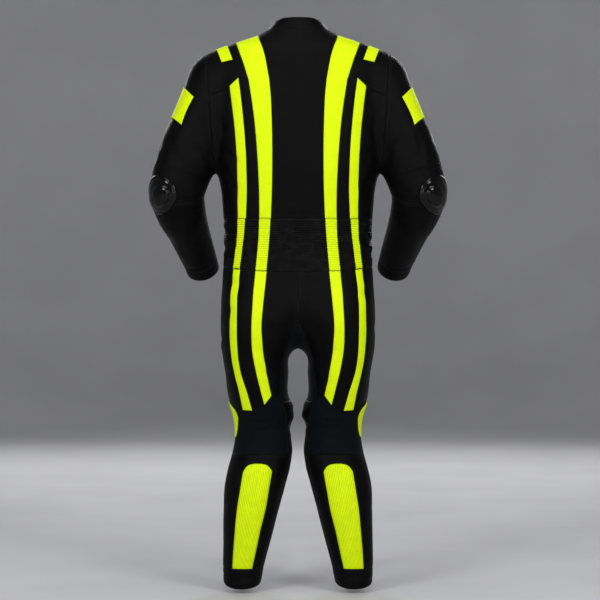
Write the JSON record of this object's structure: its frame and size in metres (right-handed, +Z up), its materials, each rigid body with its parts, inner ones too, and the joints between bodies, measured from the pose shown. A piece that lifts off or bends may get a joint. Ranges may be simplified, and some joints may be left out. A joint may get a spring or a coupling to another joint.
{
  "type": "motorcycle race suit",
  "caption": "One-piece leather motorcycle race suit, hollow and filled out as worn, with accordion stretch panels, stripes, elbow guards and a front zip with a swinging pull tab.",
  "frame": {"origin": "middle of the shoulder line, where the suit hangs on the wearer's shoulders", "axes": "+Z up, the zipped front towards -Y, the suit's own left side towards +X"},
  "size_m": [0.7306, 0.3144, 1.3932],
  "materials": {
    "black_leather": "fine grain, satin",
    "yellow_leather": "fine grain, satin, bright yellow",
    "stretch_fabric": "close woven stretch fabric, matte",
    "zip_tape": "woven tape",
    "guard_shell": "polished",
    "zip_metal": "dark satin metal"
  },
  "bodies": {
    "suit": {"back_centre": "black_leather", "back_wide_stripe_left": "yellow_leather", "back_wide_stripe_right": "yellow_leather", "back_strip_left": "black_leather", "back_strip_right": "black_leather", "back_narrow_stripe_left": "yellow_leather", "back_narrow_stripe_right": "yellow_leather", "side_back_left": "black_leather", "side_back_right": "black_leather", "shoulder_left": "black_leather", "shoulder_right": "black_leather", "shoulder_patch_left": "yellow_leather", "shoulder_patch_right": "yellow_leather", "lumbar_accordion": "black_leather", "lumbar_wide_stripe_left": "yellow_leather", "lumbar_wide_stripe_right": "yellow_leather", "lumbar_narrow_stripe_left": "yellow_leather", "lumbar_narrow_stripe_right": "yellow_leather", "seat_left": "black_leather", "seat_right": "black_leather", "hip_wide_stripe_left": "yellow_leather", "hip_wide_stripe_right": "yellow_leather", "hip_strip_left": "black_leather", "hip_strip_right": "black_leather", "hip_narrow_stripe_left": "yellow_leather", "hip_narrow_stripe_right": "yellow_leather", "outer_thigh_left": "black_leather", "outer_thigh_right": "black_leather", "inner_thigh_left": "stretch_fabric", "inner_thigh_right": "stretch_fabric", "knee_back_left": "stretch_fabric", "knee_back_right": "stretch_fabric", "calf_back_left": "black_leather", "calf_back_right": "black_leather", "calf_accordion_left": "yellow_leather", "calf_accordion_right": "yellow_leather", "knee_and_shin_left": "black_leather", "knee_and_shin_right": "black_leather", "knee_patch_left": "yellow_leather", "knee_patch_right": "yellow_leather", "hem_band_left": "black_leather", "hem_band_right": "black_leather", "front_chest_left": "black_leather", "front_chest_right": "black_leather", "front_thigh_left": "black_leather", "front_thigh_right": "black_leather", "collar": "black_leather", "front_zip": "zip_tape", "zip_slider": "zip_metal", "upper_sleeve_left": "black_leather", "upper_sleeve_right": "black_leather", "forearm_left": "black_leather", "forearm_right": "black_leather", "cuff_left": "black_leather", "cuff_right": "black_leather", "arm_patch_left": "yellow_leather", "arm_patch_right": "yellow_leather", "elbow_guard_left": "guard_shell", "elbow_guard_right": "guard_shell"},
    "pull_tab": {"zip_pull_tab": "zip_metal"}
  },
  "joints": [
    {"name": "pull_tab_swing", "type": "hinge", "parent": "suit", "child": "pull_tab", "pos_m": [0, -0.0788, 0.01975], "axis": [-1, 0, 0], "range_deg": [0, 160]}
  ]
}
